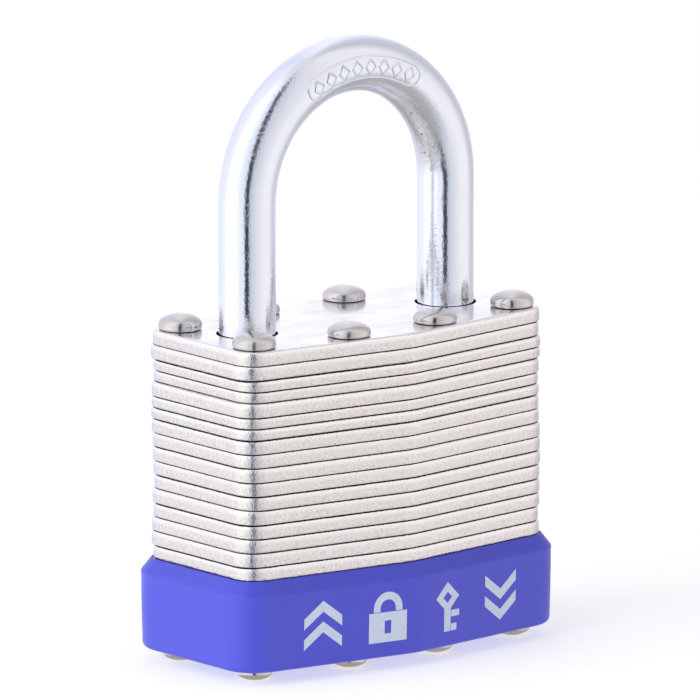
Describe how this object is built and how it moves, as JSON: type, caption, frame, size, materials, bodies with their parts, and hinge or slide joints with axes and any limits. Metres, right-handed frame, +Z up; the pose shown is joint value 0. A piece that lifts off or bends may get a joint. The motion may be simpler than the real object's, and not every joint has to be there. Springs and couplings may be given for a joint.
{
  "type": "laminated padlock",
  "caption": "Laminated steel padlock with a round shackle, domed rivets and a blue plastic base cover, closed with its levers drawn in",
  "frame": {"origin": "on the plane under the crowns of the lower rivet heads, below the middle of the body", "axes": "+Z up along the shackle's legs, +X along the body's width from the toe leg to the heel leg, -Y out of the printed front"},
  "size_m": [0.0428, 0.0246, 0.0653],
  "materials": {
    "plate_steel": "nickel-plated sheet steel, punched edges",
    "rivet_nickel": "nickel-plated, smooth",
    "shackle_chrome": "hardened steel, polished and plated",
    "cover_plastic": "semi-gloss moulded vinyl, printed front",
    "lever_steel": "plain steel, tumbled",
    "spring_steel": "spring wire",
    "housing_zinc": "die-cast zinc, bare",
    "plug_brass": "turned brass"
  },
  "bodies": {
    "body": {"bottom_plate": "plate_steel", "cylinder_plate_01": "plate_steel", "cylinder_plate_02": "plate_steel", "cylinder_plate_03": "plate_steel", "cylinder_plate_04": "plate_steel", "cylinder_plate_05": "plate_steel", "cylinder_plate_06": "plate_steel", "cylinder_plate_07": "plate_steel", "cylinder_plate_08": "plate_steel", "cylinder_plate_09": "plate_steel", "cylinder_plate_10": "plate_steel", "cylinder_plate_11": "plate_steel", "cylinder_plate_12": "plate_steel", "cylinder_plate_13": "plate_steel", "cam_plate_1": "plate_steel", "cam_plate_2": "plate_steel", "lever_plate_1": "plate_steel", "lever_plate_2": "plate_steel", "guide_plate_1": "plate_steel", "guide_plate_2": "plate_steel", "guide_plate_3": "plate_steel", "guide_plate_4": "plate_steel", "top_plate": "plate_steel", "base_cover": "cover_plastic", "rivets": "rivet_nickel", "cylinder_housing": "housing_zinc", "spring_cover": "plug_brass", "shackle_spring": "spring_steel", "lever_springs": "spring_steel", "pin_spring_1": "spring_steel", "pin_spring_2": "spring_steel", "pin_spring_3": "spring_steel", "pin_spring_4": "spring_steel"},
    "shackle": {"shackle": "shackle_chrome"},
    "plug": {"plug": "plug_brass", "plug_clip": "spring_steel", "plug_cam": "lever_steel"},
    "left_lever": {"left_lever": "lever_steel"},
    "right_lever": {"right_lever": "lever_steel"},
    "key_pin_1": {"key_pin_1": "plug_brass"},
    "driver_pin_1": {"driver_pin_1": "lever_steel"},
    "key_pin_2": {"key_pin_2": "plug_brass"},
    "driver_pin_2": {"driver_pin_2": "lever_steel"},
    "key_pin_3": {"key_pin_3": "plug_brass"},
    "driver_pin_3": {"driver_pin_3": "lever_steel"},
    "key_pin_4": {"key_pin_4": "plug_brass"},
    "driver_pin_4": {"driver_pin_4": "lever_steel"}
  },
  "joints": [
    {"name": "shackle_lift", "type": "slide", "parent": "body", "child": "shackle", "axis": [0, 0, 1], "range_m": [0, 0.0128], "deforming": ["shackle_spring"]},
    {"name": "plug_turn", "type": "hinge", "parent": "body", "child": "plug", "pos_m": [0, 0, 0.0038], "axis": [0, 0, 1], "range_deg": [-90, 0]},
    {"name": "left_lever_slide", "type": "slide", "parent": "body", "child": "left_lever", "axis": [-1, 0, 0], "range_m": [0, 0.0017], "deforming": ["lever_springs"]},
    {"name": "right_lever_slide", "type": "slide", "parent": "body", "child": "right_lever", "axis": [1, 0, 0], "range_m": [0, 0.0017]},
    {"name": "key_pin_4_slide", "type": "slide", "parent": "plug", "child": "key_pin_4", "axis": [0, 1, 0], "range_m": [0, 0.0021]},
    {"name": "key_pin_1_slide", "type": "slide", "parent": "plug", "child": "key_pin_1", "axis": [0, 1, 0], "range_m": [0, 0.0007]},
    {"name": "key_pin_2_slide", "type": "slide", "parent": "plug", "child": "key_pin_2", "axis": [0, 1, 0], "range_m": [0, 0.0017]},
    {"name": "key_pin_3_slide", "type": "slide", "parent": "plug", "child": "key_pin_3", "axis": [0, 1, 0], "range_m": [0, 0.0012]},
    {"name": "driver_pin_1_slide", "type": "slide", "parent": "body", "child": "driver_pin_1", "axis": [-1, 0, 0], "range_m": [0, 0.0012], "deforming": ["pin_spring_1"]},
    {"name": "driver_pin_2_slide", "type": "slide", "parent": "body", "child": "driver_pin_2", "axis": [-1, 0, 0], "range_m": [0, 0.0012], "deforming": ["pin_spring_2"]},
    {"name": "driver_pin_3_slide", "type": "slide", "parent": "body", "child": "driver_pin_3", "axis": [-1, 0, 0], "range_m": [0, 0.0012], "deforming": ["pin_spring_3"]},
    {"name": "driver_pin_4_slide", "type": "slide", "parent": "body", "child": "driver_pin_4", "axis": [-1, 0, 0], "range_m": [0, 0.0012], "deforming": ["pin_spring_4"]}
  ],
  "couplings": [
    {"joint": "left_lever_slide", "follows": "plug_turn", "m_per_rad": -0.0010823},
    {"joint": "right_lever_slide", "follows": "plug_turn", "m_per_rad": -0.0010823},
    {"joint": "key_pin_1_slide", "follows": "key_pin_4_slide", "ratio": 0.33333},
    {"joint": "key_pin_2_slide", "follows": "key_pin_4_slide", "ratio": 0.80952},
    {"joint": "key_pin_3_slide", "follows": "key_pin_4_slide", "ratio": 0.57142},
    {"joint": "driver_pin_2_slide", "follows": "driver_pin_1_slide", "ratio": 1},
    {"joint": "driver_pin_3_slide", "follows": "driver_pin_1_slide", "ratio": 1},
    {"joint": "driver_pin_4_slide", "follows": "driver_pin_1_slide", "ratio": 1}
  ]
}
